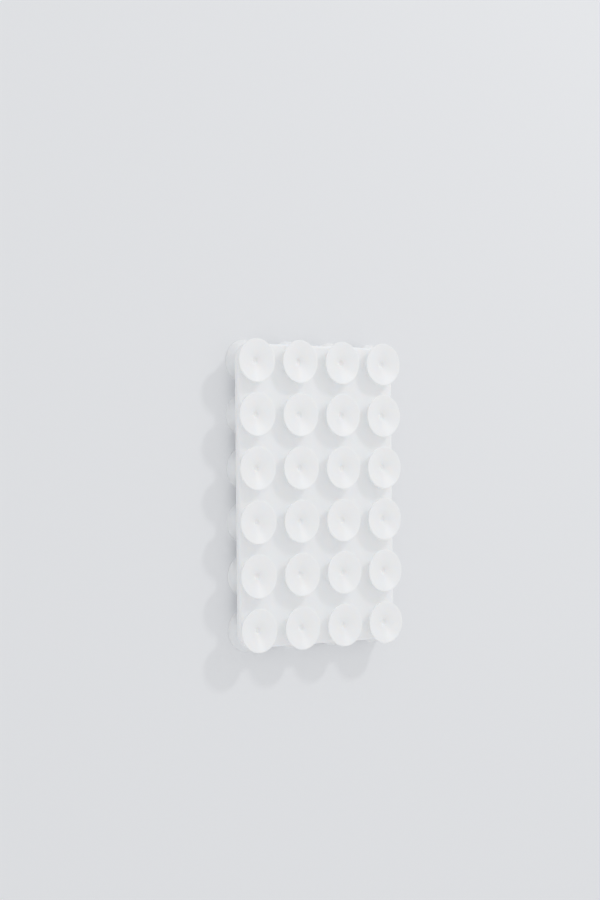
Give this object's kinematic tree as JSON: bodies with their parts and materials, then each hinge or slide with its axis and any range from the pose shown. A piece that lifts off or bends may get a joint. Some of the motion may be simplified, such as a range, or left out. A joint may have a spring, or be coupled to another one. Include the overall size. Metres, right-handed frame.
{
  "type": "suction phone mount",
  "caption": "Flat white silicone pad with a grid of small suction cups on both faces, which sticks a phone to a mirror, tile or window.",
  "frame": {"origin": "under the middle of the grid of cups, on the plane of the lower rims that the pad lies on", "axes": "+X across the columns of cups, +Y along the rows (up in the picture), +Z through the thickness, out of the upper cups that face the camera in the picture"},
  "size_m": [0.0572, 0.0872, 0.0068],
  "materials": {
    "silicone": "matte, slightly translucent white"
  },
  "bodies": {
    "root": {"suction_pad": "silicone"}
  },
  "joints": []
}
